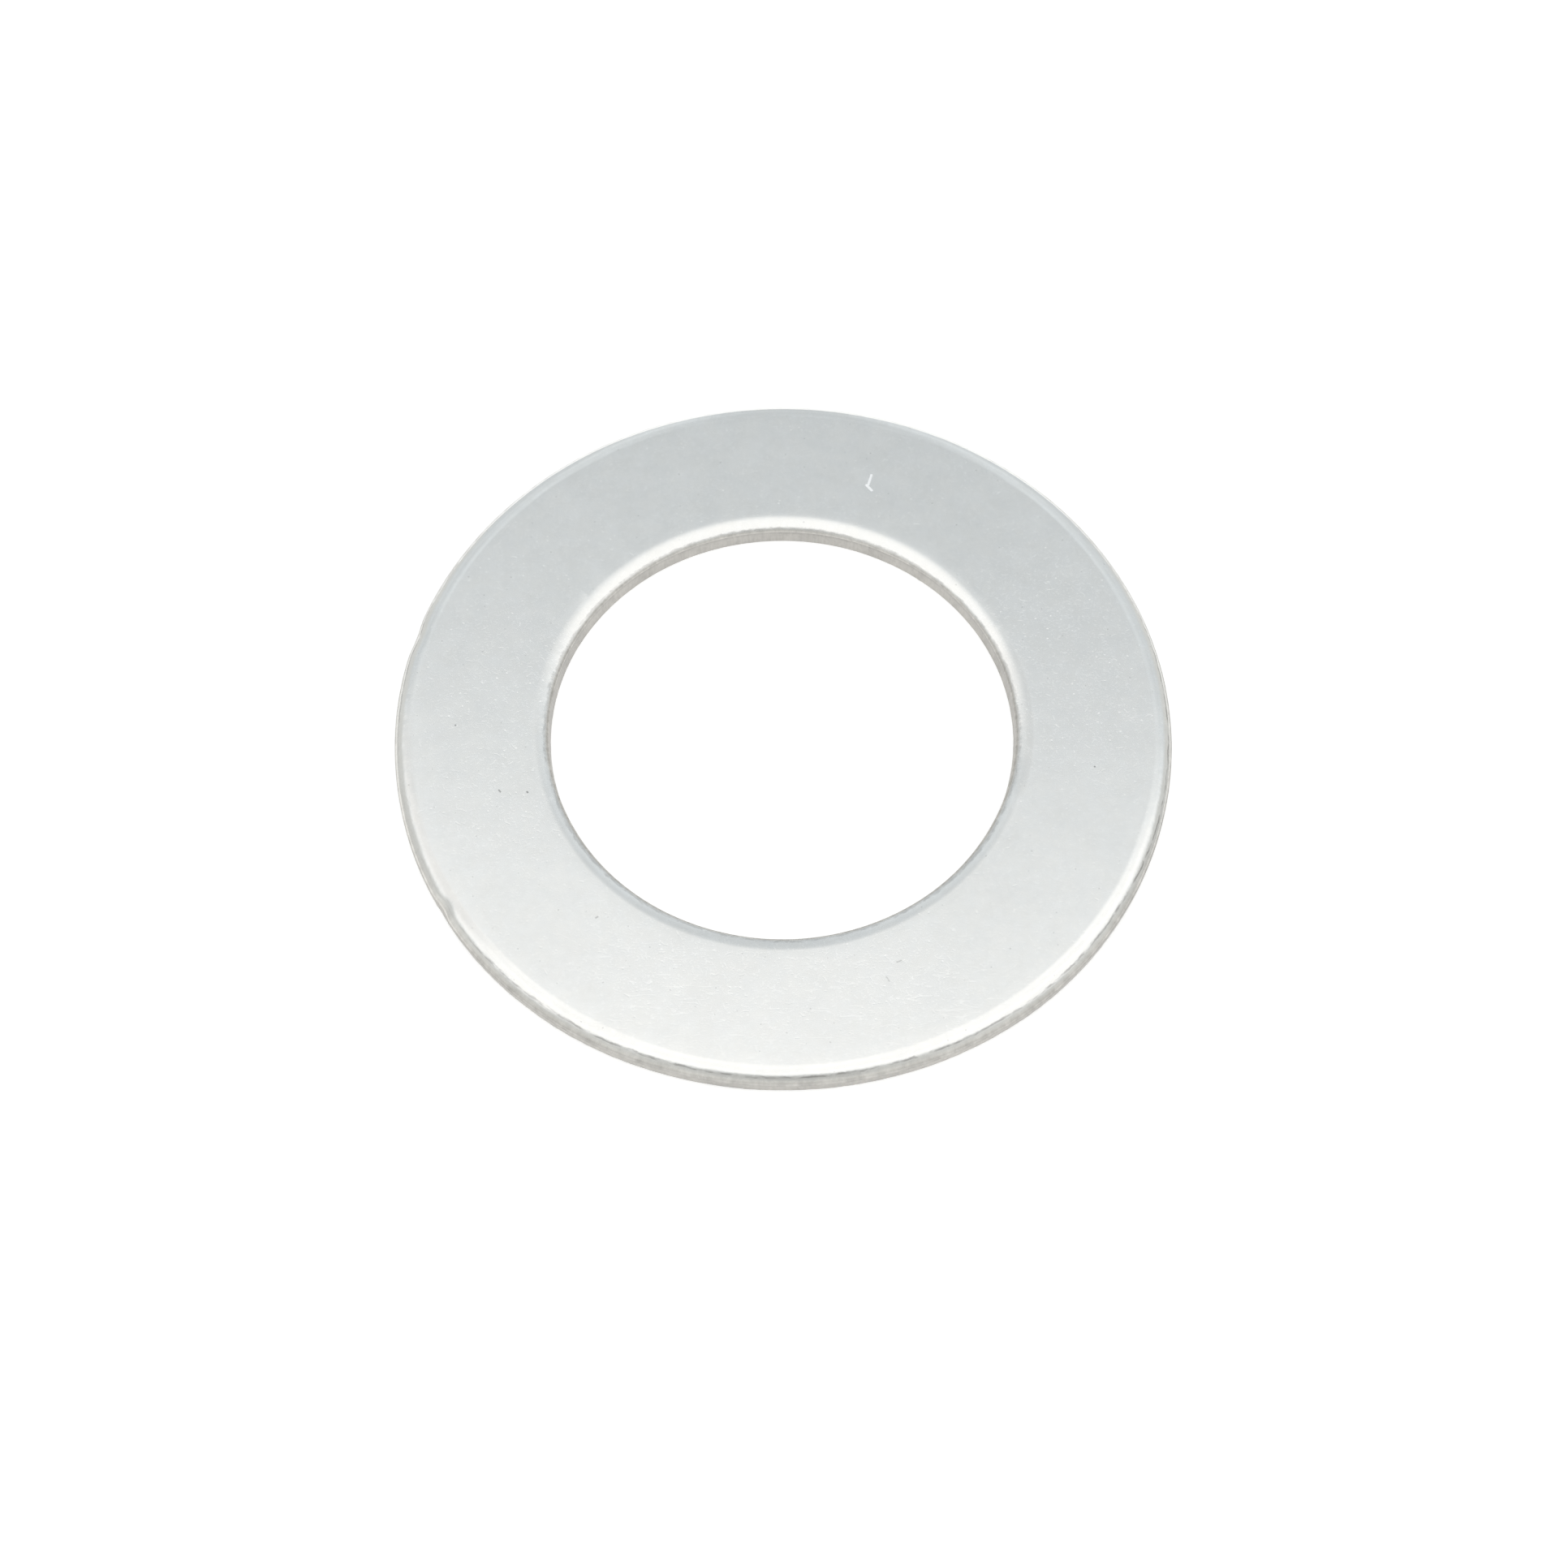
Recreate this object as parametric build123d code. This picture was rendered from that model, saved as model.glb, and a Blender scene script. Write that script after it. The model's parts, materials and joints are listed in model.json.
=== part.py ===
"""Shim ring, a flat spacer that is slipped over a shaft to take up end play.

The ring is blanked and pierced from bright steel strip in one stroke of a compound die, so both
cut walls carry the marks of that stroke. Each wall, from the top face down, is

  - a die roll, where the strip was drawn over before it parted,
  - a burnished land, cut true and upright by the die,
  - a tear, where the steel broke away and leans back a little,
  - a broken edge at the bottom face, left by deburring.

The frame is in millimetres. The origin is the centre of the bore on the bottom face, and +Z points
along the bore axis, out of the top face, which is the face with the die roll.
"""

from build123d import *
import os

# The ring.
outside_diameter = 15.0
bore_diameter = 9.0
thickness = 0.40

# The rim, which is the outer cut wall.
rim_roll_width = 0.37
rim_roll_depth = 0.19
rim_land_height = 0.10
rim_tear_lean = 0.02

# The bore, which is the inner cut wall.
bore_roll_width = 0.36
bore_roll_depth = 0.11
bore_land_height = 0.14
bore_tear_lean = 0.01

# The radius that deburring leaves at both edges of the bottom face.
edge_break = 0.02

AWAY_FROM_AXIS = 1
TOWARDS_AXIS = -1


def cut_wall(radius, facing, roll_width, roll_depth, land_height, tear_lean):
    """The section of one cut wall, from the top face down to the bottom face.

    facing is AWAY_FROM_AXIS for the rim and TOWARDS_AXIS for the bore.
    """
    roll_start = radius - facing * roll_width
    land_top = thickness - roll_depth
    land_foot = land_top - land_height
    tear_foot = radius - facing * tear_lean

    EllipticalCenterArc(
        center=(roll_start, land_top),
        x_radius=roll_width,
        y_radius=roll_depth,
        start_angle=0 if facing == AWAY_FROM_AXIS else 90,
        arc_size=90,
    )
    Polyline((radius, land_top), (radius, land_foot), (tear_foot, 0))
    return roll_start, tear_foot


def ring_section():
    """The closed section of the ring on one side of its axis, ready to be turned about it."""
    with BuildSketch(Plane.XZ) as section:
        with BuildLine():
            rim_roll_start, rim_foot = cut_wall(
                outside_diameter / 2,
                AWAY_FROM_AXIS,
                rim_roll_width,
                rim_roll_depth,
                rim_land_height,
                rim_tear_lean,
            )
            bore_roll_start, bore_foot = cut_wall(
                bore_diameter / 2,
                TOWARDS_AXIS,
                bore_roll_width,
                bore_roll_depth,
                bore_land_height,
                bore_tear_lean,
            )
            Line((bore_roll_start, thickness), (rim_roll_start, thickness))
            Line((bore_foot, 0), (rim_foot, 0))
        make_face()
        bottom_corners = section.vertices().group_by(Axis.Y)[0]
        fillet(bottom_corners, edge_break)
    return section.sketch


def shim_ring():
    """The whole ring, one solid turned from its section."""
    with BuildPart() as ring:
        revolve(ring_section(), axis=Axis.Z)
    return ring.part


os.makedirs("parts", exist_ok=True)
export_step(shim_ring(), "parts/shim_ring.step")
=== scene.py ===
# %% [markdown]
# # A punched shim ring
#
# The object is a thin flat ring of bright steel strip, blanked and pierced in one stroke of a
# compound die. It is one piece, and all that tells it from a drawn circle is what that stroke and
# the tumbling barrel left behind: edges that roll over, a burnished band and a torn band on each cut
# wall, and a face with a soft gloss, small knocks and scuffs. The lesson models the section, turns it
# into a ring, roughens what tore, and then spends most of its time on the finish.

import json
import math

import bmesh
import bpy
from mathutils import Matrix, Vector


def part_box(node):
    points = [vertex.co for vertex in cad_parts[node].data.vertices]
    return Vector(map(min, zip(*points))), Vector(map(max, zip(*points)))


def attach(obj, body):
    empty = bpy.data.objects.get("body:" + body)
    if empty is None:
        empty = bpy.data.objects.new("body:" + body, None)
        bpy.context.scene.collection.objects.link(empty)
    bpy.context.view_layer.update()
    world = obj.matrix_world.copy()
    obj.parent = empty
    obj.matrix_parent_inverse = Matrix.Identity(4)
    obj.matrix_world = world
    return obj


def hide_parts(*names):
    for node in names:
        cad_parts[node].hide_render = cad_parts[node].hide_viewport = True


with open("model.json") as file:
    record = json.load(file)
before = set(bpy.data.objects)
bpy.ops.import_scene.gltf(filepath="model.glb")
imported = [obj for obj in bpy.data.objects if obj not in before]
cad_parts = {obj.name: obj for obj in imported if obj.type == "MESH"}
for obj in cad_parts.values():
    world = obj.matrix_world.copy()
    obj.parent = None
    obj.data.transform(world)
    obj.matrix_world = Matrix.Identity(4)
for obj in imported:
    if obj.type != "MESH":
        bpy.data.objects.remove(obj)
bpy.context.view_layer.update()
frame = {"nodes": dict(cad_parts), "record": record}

# %% [markdown]
# ## Sizes
#
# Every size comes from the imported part, so that the finished ring follows the CAD if a size changes.
# The mounts give the two diameters and the height of the burnished land, because the land is the
# only true cylinder of each wall. The flat part of the top face shows where the rolled edges start:
# it ends where they begin, so its smallest and largest radius are measured on the CAD mesh.

# %% Read the sizes from the frame
MM = 0.001
HAIR = 0.0005 * MM  # two places that are closer than this count as one
RING = "shim_ring"

mounts = {mount["name"]: mount for mount in frame["record"]["mounts"]}
rim_radius = mounts["rim"]["dims"]["r_mm"] * MM
bore_radius = mounts["bore"]["dims"]["r_mm"] * MM
middle_radius = (rim_radius + bore_radius) / 2


def land_span(name):
    """The heights of the foot and the top of the burnished land that a mount states."""
    half = mounts[name]["dims"]["length_mm"] * MM / 2
    middle = mounts[name]["pos_m"][2]
    return middle - half, middle + half


rim_land_foot, rim_land_top = land_span("rim")
bore_land_foot, bore_land_top = land_span("bore")

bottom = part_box(RING)[0].z
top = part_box(RING)[1].z


def near(a, b):
    """True for two heights or two radii that are the same but for rounding."""
    return abs(a - b) < HAIR


def radii_at(height):
    """The smallest and largest radius of the CAD ring at one height."""
    points = [vertex.co for vertex in frame["nodes"][RING].data.vertices]
    reach = [math.hypot(p.x, p.y) for p in points if near(p.z, height)]
    return min(reach), max(reach)


bore_roll_start, rim_roll_start = radii_at(top)
bore_foot, rim_foot = radii_at(bottom)
print("Bore, roll, roll and rim:", bore_radius, bore_roll_start, rim_roll_start, rim_radius)
print("Bottom face:", bore_foot, rim_foot, "top face at", top)

# %% [markdown]
# ## Working in edit mode
#
# Blender's modelling tools act on whatever is selected, and a script has no mouse to select with. So
# one helper opens a piece with nothing else selected, and another picks its points, edges or faces by
# a test of where they lie. It tells how many it found, which is the quickest way to notice a mistake.

# %% Helpers for edit mode


def start_editing(piece):
    """Deselects everything, makes the piece active and opens it in edit mode."""
    bpy.ops.object.select_all(action="DESELECT")
    piece.select_set(True)
    bpy.context.view_layer.objects.active = piece
    bpy.ops.object.mode_set(mode="EDIT")


def pick(piece, test, kind="verts"):
    """Selects the vertices, edges or faces whose middle passes the test."""
    modes = {"verts": "VERT", "edges": "EDGE", "faces": "FACE"}
    bpy.ops.mesh.select_mode(type=modes[kind])
    bpy.ops.mesh.select_all(action="DESELECT")
    mesh = bmesh.from_edit_mesh(piece.data)
    chosen = 0
    for element in getattr(mesh, kind):
        corners = [element] if kind == "verts" else element.verts
        middle = sum((corner.co for corner in corners), Vector()) / len(corners)
        if test(middle):
            element.select_set(True)
            chosen += 1
    mesh.select_flush_mode()
    bmesh.update_edit_mesh(piece.data)
    return chosen


# %% [markdown]
# ## The section
#
# A turned part is fully told by half of its section, so the section is drawn first. It starts as a
# plane stood on edge, sized to the wall of the ring, and only its outline is kept.

# %% Draw the bare rectangle of the section
bpy.ops.object.select_all(action="DESELECT")
section_middle = (middle_radius, 0, (top + bottom) / 2)
bpy.ops.mesh.primitive_plane_add(size=1, location=section_middle, rotation=(math.pi / 2, 0, 0))
ring = bpy.context.object
ring.name = "finished_ring"
bpy.ops.object.transform_apply(location=True, rotation=True, scale=True)
start_editing(ring)
bpy.ops.mesh.select_all(action="SELECT")
wall_width = rim_radius - bore_radius
bpy.ops.transform.resize(value=(wall_width, 1, top - bottom), center_override=section_middle)
bpy.ops.mesh.delete(type="ONLY_FACE")


def section_points():
    return len(bmesh.from_edit_mesh(ring.data).verts)


print("Outline corners:", section_points())

# %% [markdown]
# The die roll is a quarter of an ellipse, wider than it is deep. A vertex bevel only makes a quarter
# circle, so the section is stretched until the roll is as deep as it is wide, bevelled, and pressed
# back. Each roll has its own stretch, because the two differ. The bore's roll starts a little narrow
# here, and one side of it is widened again later.

# %% Round the die rolls
ROLL_SEGMENTS = 24
BORE_ROLL_TRIM = 0.065 * MM


def round_roll(radius, roll_start, land_top):
    """Rounds the top corner at that radius into a quarter ellipse, from roll_start to land_top."""
    width = abs(radius - roll_start)
    stretch = width / (top - land_top)
    bpy.ops.mesh.select_all(action="SELECT")
    bpy.ops.transform.resize(value=(1, 1, stretch), center_override=(0, 0, top))
    pick(ring, lambda p: near(p.x, radius) and near(p.z, top))
    bpy.ops.mesh.bevel(
        offset=width, offset_type="OFFSET", segments=ROLL_SEGMENTS, profile=0.5, affect="VERTICES"
    )
    bpy.ops.mesh.select_all(action="SELECT")
    bpy.ops.transform.resize(value=(1, 1, 1 / stretch), center_override=(0, 0, top))


round_roll(rim_radius, rim_roll_start, rim_land_top)
round_roll(bore_radius, bore_roll_start - BORE_ROLL_TRIM, bore_land_top)
print("Section points after the rolls:", section_points())

# %% [markdown]
# Under the roll the wall has two parts. The land is upright, and below it the steel tore and leans
# back. One cut in the wall's edge makes the corner between the two, and the corner at the bottom
# face is drawn back and then rounded by a little, as deburring leaves it. At the bore a small burr
# stayed, so the corner there reaches inwards a little further.

# %% Lean the tear and break the bottom edge
EDGE_BREAK = 0.02 * MM
BORE_BURR = 0.04 * MM
BREAK_SEGMENTS = 3


def shape_wall(radius, land_foot, land_top, foot):
    """Cuts the wall at the land's foot, and draws its bottom corner to where the flat foot starts."""
    cut_height = (land_top + bottom) / 2
    pick(ring, lambda p: near(p.x, radius) and near(p.z, cut_height), "edges")
    bpy.ops.mesh.subdivide(number_cuts=1)
    pick(ring, lambda p: near(p.x, radius) and near(p.z, cut_height))
    bpy.ops.transform.translate(value=(0, 0, land_foot - cut_height))
    corner = foot + math.copysign(EDGE_BREAK, radius - middle_radius)
    pick(ring, lambda p: near(p.x, radius) and near(p.z, bottom))
    bpy.ops.transform.translate(value=(corner - radius, 0, 0))
    bpy.ops.mesh.bevel(
        offset=EDGE_BREAK, offset_type="OFFSET", segments=BREAK_SEGMENTS, profile=0.5, affect="VERTICES"
    )


shape_wall(rim_radius, rim_land_foot, rim_land_top, rim_foot)
shape_wall(bore_radius, bore_land_foot, bore_land_top, bore_foot - BORE_BURR)
print("Section points after the walls:", section_points())

# %% [markdown]
# What will be roughened later needs points to move, so the straight stretches are divided: the tear
# finely, the land and the two faces less.

# %% Divide the straight stretches
LAND_CUTS = 3
TEAR_CUTS = 8
FACE_CUTS = 9


def divide(test, cuts):
    """Divides the edges of the section whose middle passes the test."""
    pick(ring, test, "edges")
    bpy.ops.mesh.subdivide(number_cuts=cuts)


def divide_wall(radius, land_foot, land_top):
    """Divides the land and the tear of the wall at that radius."""
    divide(lambda p: near(p.x, radius) and near(p.z, (land_top + land_foot) / 2), LAND_CUTS)
    divide(lambda p: abs(p.x - radius) < EDGE_BREAK and land_foot > p.z > EDGE_BREAK, TEAR_CUTS)


divide_wall(rim_radius, rim_land_foot, rim_land_top)
divide_wall(bore_radius, bore_land_foot, bore_land_top)
divide(lambda p: near(p.z, top) and rim_roll_start > p.x > bore_roll_start, FACE_CUTS)
divide(lambda p: near(p.z, bottom) and rim_foot > p.x > bore_foot, FACE_CUTS)
print("Section points:", section_points())

# %% [markdown]
# ## The turn
#
# Spin carries the section once round the axis. Its first and last copy lie on each other, so doubles
# are merged, with a limit far under the smallest edge, and then the normals are made to point out.

# %% Spin the section
TURN_STEPS = 900
MERGE_LIMIT = 0.001 * MM

bpy.ops.mesh.select_mode(type="VERT")
bpy.ops.mesh.select_all(action="SELECT")
bpy.ops.mesh.spin(steps=TURN_STEPS, angle=2 * math.pi, center=(0, 0, 0), axis=(0, 0, 1))
bpy.ops.mesh.select_all(action="SELECT")
bpy.ops.mesh.remove_doubles(threshold=MERGE_LIMIT)
bpy.ops.mesh.normals_make_consistent(inside=False)
bpy.ops.object.mode_set(mode="OBJECT")
print("Vertices:", len(ring.data.vertices), "faces:", len(ring.data.polygons))

# %% [markdown]
# ## What the press left
#
# A punched edge is never quite even. The steel rolls over a little more here and a little less there,
# so the edges wave by a hundredth of a millimetre, and under the burnished land it tore into a
# coarse, pitted band. Displace does both: it moves points along their normals by the value of a
# texture, and a vertex group says which points and how much. The middle level says which value moves
# nothing. It is set high, so that points move inwards and the part doesn't outgrow its size.

# %% Name the points that wave and the points that tore
WAVE_ONSET = 3  # the higher, the nearer to the wall the waves begin
TEAR_FULLNESS = 4  # the higher, the nearer to its borders the tear is fully rough


def on_rim(p):
    """True on the outer half of the ring."""
    return p.xy.length > middle_radius


def edge_share(p):
    """0 on the flat faces, rising smoothly over the roll to 1 at its foot and on the wall."""
    start, end = (rim_roll_start, rim_radius) if on_rim(p) else (bore_roll_start, bore_radius)
    share = (p.xy.length - start) / (end - start)
    return max(0.0, min(1.0, share)) ** WAVE_ONSET


def tear_share(p):
    """1 in the middle of the torn band, and 0 at the foot of the land and at the bottom edge."""
    foot = rim_land_foot if on_rim(p) else bore_land_foot
    wall = rim_foot - 2 * EDGE_BREAK if on_rim(p) else bore_foot + 2 * EDGE_BREAK
    outside = p.xy.length > wall if on_rim(p) else p.xy.length < wall
    return max(0.0, 1 - abs(2 * p.z / foot - 1) ** TEAR_FULLNESS) if outside and p.z < foot else 0.0


def weigh(piece, name, share):
    """Makes a vertex group in which each point weighs what share says of its place."""
    group = piece.vertex_groups.new(name=name)
    weights = [share(vertex.co) for vertex in piece.data.vertices]
    for index, weight in enumerate(weights):
        if weight > 0:
            group.add([index], weight, "REPLACE")
    print(f"{name}: {sum(weight > 0 for weight in weights)} points")


weigh(ring, "wavy_edges", edge_share)
weigh(ring, "torn_band", tear_share)

# %% Wave the edges and roughen the tear
WAVE_GRAIN, WAVE_DEPTH, WAVE_MIDDLE = 1.6 * MM, 0.008 * MM, 1.0
TEAR_GRAIN, TEAR_DEPTH, TEAR_MIDDLE = 0.12 * MM, 0.016 * MM, 0.7


def displace(piece, group, grain, depth, middle):
    """Moves a group's points along their normals by up to depth, with a cloud texture of that grain."""
    clouds = bpy.data.textures.new(group, "CLOUDS")
    clouds.noise_scale = grain
    clouds.noise_depth = 2
    move = piece.modifiers.new(group, "DISPLACE")
    move.texture = clouds
    move.texture_coords = "LOCAL"
    move.vertex_group = group
    move.strength = depth
    move.mid_level = middle
    bpy.ops.object.modifier_apply(modifier=move.name)


displace(ring, "wavy_edges", WAVE_GRAIN, WAVE_DEPTH, WAVE_MIDDLE)
displace(ring, "torn_band", TEAR_GRAIN, TEAR_DEPTH, TEAR_MIDDLE)
print("Size after the edges waved, in mm:", [round(size / MM, 3) for size in ring.dimensions])

# %% [markdown]
# A punch never stands quite straight over its die. Here the steel rolled over further on one side of
# the bore than on the other, and the bore lies about a thirtieth of a millimetre off the middle of the
# rim. Nor is a blanked ring ever quite round: it sprang out a little on its four diagonals. Displace
# can also push points along one axis, so all three are done with groups that fade out smoothly. A
# group can't weigh less than nothing, so a push away from the axis takes four groups, one each way.

# %% Pushes along an axis and away from it


def smooth_step(value, start, end):
    """0 at start and 1 at end, with a soft curve between."""
    share = max(0.0, min(1.0, (value - start) / (end - start)))
    return share * share * (3 - 2 * share)


def push(piece, name, share, direction, distance):
    """Pushes points along an axis by distance times what share says of their place."""
    weigh(piece, name, share)
    move = piece.modifiers.new(name, "DISPLACE")
    move.direction = direction
    move.vertex_group = name
    move.strength = distance
    move.mid_level = 0.0
    bpy.ops.object.modifier_apply(modifier=move.name)


def push_outwards(piece, name, share, distance):
    """Pushes points away from the axis, by one push each to the right, left, back and front."""
    for index, axis in enumerate("XY"):
        for side in (1, -1):
            push(
                piece,
                f"{name}_{axis}{side}",
                lambda p: share(p) * max(0.0, side * p[index] / p.xy.length),
                axis,
                side * distance,
            )


# %% Widen the bore's roll on one side
EXTRA_ROLL = 0.047 * MM
WIDE_SIDE = 1.0 * MM, 3.5 * MM  # how far back the widening sets in, and where it is full
WIDE_SIDE_SLANT = 0.35
FACE_MARGIN = 0.1  # how much of the face next to the roll goes along


def wide_share(p):
    """1 where the bore's roll starts on its wide side, fading to 0 at the bore's wall."""
    roll_start = bore_roll_start - BORE_ROLL_TRIM
    share = (roll_start - p.xy.length) / (roll_start - bore_radius)
    if on_rim(p) or p.z < bore_land_top or share < -FACE_MARGIN:
        return 0.0
    return (1 - min(1.0, share) ** 2) * smooth_step(p.y - WIDE_SIDE_SLANT * p.x, *WIDE_SIDE)


push_outwards(ring, "wide_roll", wide_share, EXTRA_ROLL)

# %% Spring the rim out and set the bore off centre
LOBES = 0.038 * MM
BACK_LOBES = 0.3  # the back diagonals' share of the front ones
BORE_OFF_CENTRE = {"X": -0.023 * MM, "Y": -0.025 * MM}


def lobe_share(p):
    """On the rim, 1 on the two front diagonals, less on the back ones, and 0 on the two axes."""
    if not on_rim(p):
        return 0.0
    turn = math.atan2(p.y, p.x)
    return edge_share(p) * (1 - math.cos(4 * turn)) / 2 * (1.0 if p.y < 0 else BACK_LOBES)


def bore_share(p):
    """1 at the bore, fading to 0 where the rim's roll starts."""
    return 1 - smooth_step(p.xy.length, bore_roll_start, rim_roll_start)


push_outwards(ring, "lobes", lobe_share, LOBES)
for axis, distance in BORE_OFF_CENTRE.items():
    push(ring, f"bore_{axis}", bore_share, axis, distance)

# %% [markdown]
# Then come the knocks of a life in a bin of other rings. Each is pressed in one by one: the points
# round one spot of the rim move inwards, and proportional editing lets the pull fade out over the metal
# beside it.

# %% Press in the knocks
KNOCK_CORE = 0.08 * MM
KNOCKS = [
    # turn in degrees, height, depth, reach
    (211.0, 0.30 * MM, 0.035 * MM, 0.30 * MM),
    (164.0, 0.25 * MM, 0.030 * MM, 0.45 * MM),
]

start_editing(ring)
for turn, height, depth, reach in KNOCKS:
    outwards = Vector((math.cos(math.radians(turn)), math.sin(math.radians(turn)), 0))
    spot = outwards * rim_radius + Vector((0, 0, height))
    points = pick(ring, lambda p: (p - spot).length < KNOCK_CORE)
    bpy.ops.transform.translate(
        value=-outwards * depth,
        use_proportional_edit=True,
        proportional_edit_falloff="SMOOTH",
        proportional_size=reach,
    )
    print(f"Knock at {turn:.0f} degrees moved {points} points and their neighbours")
bpy.ops.object.mode_set(mode="OBJECT")

# %% [markdown]
# All those pushes may leave a point a hair above the top face, where the ring was flat. Scaled to
# nothing in height about that face, such points lie in it again. Then the whole ring shades smooth,
# except where two faces meet at a real corner: the foot of the land and the broken edge. Smooth by
# angle keeps those crisp.

# %% Level the top and smooth the shading
SHARPEST_SMOOTH_EDGE = math.radians(30)
start_editing(ring)
proud = pick(ring, lambda p: p.z > top)
if proud:
    bpy.ops.transform.resize(value=(1, 1, 0), center_override=(0, 0, top))
bpy.ops.object.mode_set(mode="OBJECT")
bpy.ops.object.shade_smooth_by_angle(angle=SHARPEST_SMOOTH_EDGE)
print("Points above the top face:", proud)

# %% [markdown]
# ## Tools for the finish
#
# Nodes are placed in code here, so a few helpers keep the cells short. One adds any node with its
# inputs filled, and others do a sum, or go from one value to another. The last makes a node group,
# which is how an effect is built once and used in more than one material.

# %% Helpers for nodes


def add_node(tree, kind, inputs, **settings):
    """Adds a node, makes its settings, and fills its inputs with values or from other sockets."""
    node = tree.nodes.new(kind)
    for name, value in settings.items():
        setattr(node, name, value)
    for name, value in inputs.items():
        if isinstance(value, bpy.types.NodeSocket):
            tree.links.new(value, node.inputs[name])
        else:
            node.inputs[name].default_value = value
    return node


def calculate(tree, operation, *values):
    """A Math node; gives the socket of its result."""
    return add_node(tree, "ShaderNodeMath", dict(enumerate(values)), operation=operation).outputs[0]


def on_vectors(tree, operation, first, second=None):
    """A Vector Math node; gives the socket of its result, which may be a vector or a number."""
    inputs = {0: first}
    if second is not None:
        inputs["Scale" if operation == "SCALE" else 1] = second
    outputs = add_node(tree, "ShaderNodeVectorMath", inputs, operation=operation).outputs
    return outputs["Value" if operation in ("LENGTH", "DISTANCE", "DOT_PRODUCT") else "Vector"]


def parts_of(tree, vector):
    """The X, Y and Z of a vector."""
    return add_node(tree, "ShaderNodeSeparateXYZ", {0: vector}).outputs


def total(tree, *values):
    """Adds up numbers and sockets."""
    result = values[0]
    for value in values[1:]:
        result = calculate(tree, "ADD", result, value)
    return result


def times(tree, *values):
    """Multiplies numbers and sockets."""
    result = values[0]
    for value in values[1:]:
        result = calculate(tree, "MULTIPLY", result, value)
    return result


def weighted(tree, *layers):
    """Adds up layers, each given as a socket and what it is multiplied by."""
    return total(tree, *(times(tree, *layer) for layer in layers))


def apart(tree, first, second):
    """How far apart two numbers are."""
    return calculate(tree, "ABSOLUTE", calculate(tree, "SUBTRACT", first, second))


def mix(tree, share, first, second):
    """Goes from the first number to the second as share goes from 0 to 1."""
    return add_node(tree, "ShaderNodeMix", {0: share, 2: first, 3: second}).outputs[0]


def mix_colours(tree, share, first, second):
    """Goes from the first colour to the second as share goes from 0 to 1."""
    return add_node(tree, "ShaderNodeMix", {0: share, 6: first, 7: second}, data_type="RGBA").outputs[2]


def step(tree, value, start, end, low=0.0, high=1.0):
    """Goes smoothly from low to high as the value goes from start to end."""
    inputs = {"Value": value, "From Min": start, "From Max": end, "To Min": low, "To Max": high}
    return add_node(tree, "ShaderNodeMapRange", inputs, interpolation_type="SMOOTHSTEP").outputs[0]


NUMBER = "NodeSocketFloat"
VECTOR = "NodeSocketVector"
FLAT = (1, 1, 0)  # multiplied by this, a vector loses its height


def new_group(name, inputs, outputs):
    """A shader node group with named sockets: gives the group, its inputs and its outputs."""
    group = bpy.data.node_groups.new(name, "ShaderNodeTree")
    for socket, kind in inputs.items():
        group.interface.new_socket(socket, in_out="INPUT", socket_type=kind)
    for socket, kind in outputs.items():
        group.interface.new_socket(socket, in_out="OUTPUT", socket_type=kind)
    return group, group.nodes.new("NodeGroupInput").outputs, group.nodes.new("NodeGroupOutput").inputs


def count_nodes(title):
    """Prints how many nodes the tree at work has by now."""
    print(f"{title}: {len(tree.nodes)} nodes in the tree")


# %% [markdown]
# Every mark on the ring has a size in millimetres and a place on it, so the first group turns Object
# coordinates, which are in metres, into those: the position, the radius and the height. It also gives
# the direction from the axis as a point on a circle, because a pattern made on that runs round the
# ring without a seam.

# %% Group: place on the ring
tree, _, out = new_group(
    "place_on_ring", {}, {"Position": VECTOR, "Radius": NUMBER, "Height": NUMBER, "Turn": VECTOR}
)
coords = add_node(tree, "ShaderNodeTexCoord", {}).outputs["Object"]
in_mm = on_vectors(tree, "SCALE", coords, 1 / MM)
from_axis = on_vectors(tree, "MULTIPLY", in_mm, FLAT)
heading = on_vectors(tree, "NORMALIZE", from_axis)
tree.links.new(in_mm, out["Position"])
tree.links.new(on_vectors(tree, "LENGTH", from_axis), out["Radius"])
tree.links.new(parts_of(tree, in_mm)["Z"], out["Height"])
tree.links.new(on_vectors(tree, "SCALE", heading, rim_radius / MM), out["Turn"])
count_nodes("Place on the ring")

# %% [markdown]
# Steel that was rolled, pickled and tumbled is cloudy when looked at closely. The cloud group is a
# noise whose patches have a size in millimetres and whose value swings round nought, so that it can be
# added to a colour, a roughness or a height by any share.

# %% Group: clouds
SWING = 2.0

tree, given, out = new_group(
    "clouds", {"Vector": VECTOR, "Size": NUMBER, "Seed": NUMBER}, {"Value": NUMBER}
)
moved = on_vectors(tree, "ADD", given["Vector"], given["Seed"])
scale = calculate(tree, "DIVIDE", 1.0, given["Size"])
noise = add_node(tree, "ShaderNodeTexNoise", {"Vector": moved, "Scale": scale, "Detail": 2})
swing = calculate(tree, "MULTIPLY_ADD", noise.outputs["Fac"], 2 * SWING, -SWING)
tree.links.new(swing, out["Value"])
count_nodes("Clouds")

# %% [markdown]
# A ring that was tumbled and then carried loose with others is full of tiny nicks. Voronoi scatters
# one point in each cell of a grid, and gives each cell a random colour. The offset from the point,
# turned by one channel of that colour and squeezed, is a short stroke with its own heading. A second
# channel says whether the cell has a nick at all, and the third its length and bend.

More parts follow.
